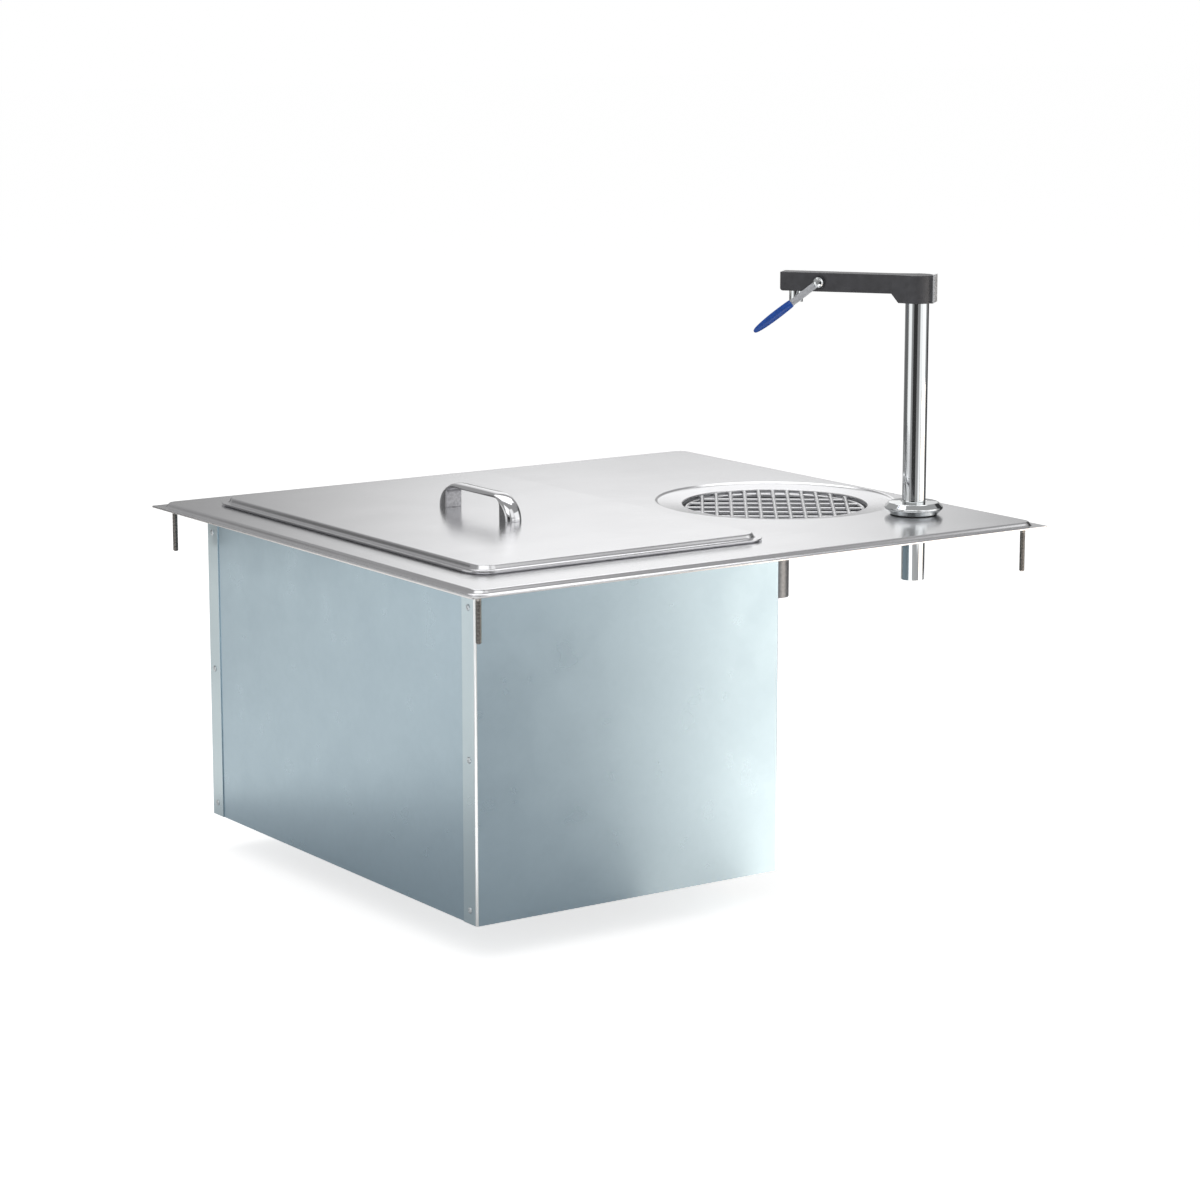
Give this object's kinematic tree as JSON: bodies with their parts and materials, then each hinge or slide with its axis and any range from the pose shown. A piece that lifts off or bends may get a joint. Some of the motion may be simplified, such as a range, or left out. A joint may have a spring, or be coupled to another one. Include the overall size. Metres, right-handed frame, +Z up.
{
  "type": "drop-in ice bin",
  "caption": "Stainless drop-in bar station: an insulated ice bin with a lift-off lid, a round drip basin with a wire grate, and a push-back glass filler on a post.",
  "frame": {"origin": "middle of the deck's overall rectangle, level with the underside of its rim, which is the plane of the counter that it rests on", "axes": "+X along the deck's long front edge, from the bin towards the glass filler; +Y from the front edge to the back edge; +Z up, away from the counter"},
  "size_m": [0.724, 0.66, 0.6467],
  "materials": {
    "stainless": "fine brushed stainless sheet",
    "liner_steel": "satin stainless sheet",
    "casing_metal": "pale blue-grey coated galvanised sheet, satin",
    "polished": "polished chrome plate",
    "wire": "bright electropolished rod",
    "fastener_steel": "plain zinc-plated steel",
    "brass": "plain cast and turned brass",
    "seal_rubber": "matt black rubber",
    "arm_black": "semi-gloss black coated casting",
    "grip_vinyl": "glossy blue dipped vinyl",
    "foam": "cream rigid foam"
  },
  "bodies": {
    "bin": {"deck": "stainless", "bin_liner": "liner_steel", "insulation": "foam", "casing_front": "casing_metal", "casing_back": "casing_metal", "casing_left": "casing_metal", "casing_right": "casing_metal", "casing_floor": "casing_metal", "casing_rivets": "fastener_steel", "bin_drain_nipple": "brass", "bin_drain_strainer": "stainless", "bin_drain_washer": "seal_rubber", "bin_drain_locknut": "brass", "drip_basin": "liner_steel", "basin_drain_nipple": "stainless", "basin_drain_strainer": "stainless", "basin_drain_washer": "seal_rubber", "basin_drain_locknut": "brass", "hold_down_studs": "fastener_steel", "filler_post": "polished", "deck_plate": "polished", "deck_plate_gasket": "seal_rubber", "post_washer": "seal_rubber", "post_locknut": "brass", "inlet_adapter": "brass", "arm_body": "arm_black", "arm_end_plate": "stainless", "shaft_bushing": "polished", "filler_nozzle": "polished"},
    "lid": {"lid_shell": "stainless", "lid_frame": "stainless", "lid_handle": "polished", "handle_nuts": "fastener_steel"},
    "grate": {"drain_grate": "wire"},
    "lever": {"lever_shaft": "polished", "lever_strap": "stainless", "lever_grip": "grip_vinyl"},
    "valve": {"valve_stem": "brass", "valve_washer": "seal_rubber", "valve_spring": "wire"}
  },
  "joints": [
    {"name": "lid_lift", "type": "slide", "parent": "bin", "child": "lid", "axis": [0, 0, 1], "range_m": [0, 0.3]},
    {"name": "grate_lift", "type": "slide", "parent": "bin", "child": "grate", "axis": [0, 0, 1], "range_m": [0, 0.14]},
    {"name": "lever_swing", "type": "hinge", "parent": "bin", "child": "lever", "pos_m": [0.21286, -0.12576, 0.2535], "axis": [-0.788, -0.6157, 0], "range_deg": [0, 22], "stiffness_Nm_per_rad": 0.3, "springref_deg": -45.84},
    {"name": "valve_travel", "type": "slide", "parent": "bin", "child": "valve", "axis": [0.6157, -0.788, 0], "range_m": [0, 0.00191]}
  ],
  "couplings": [
    {"joint": "valve_travel", "follows": "lever_swing", "m_per_rad": 0.004969}
  ]
}
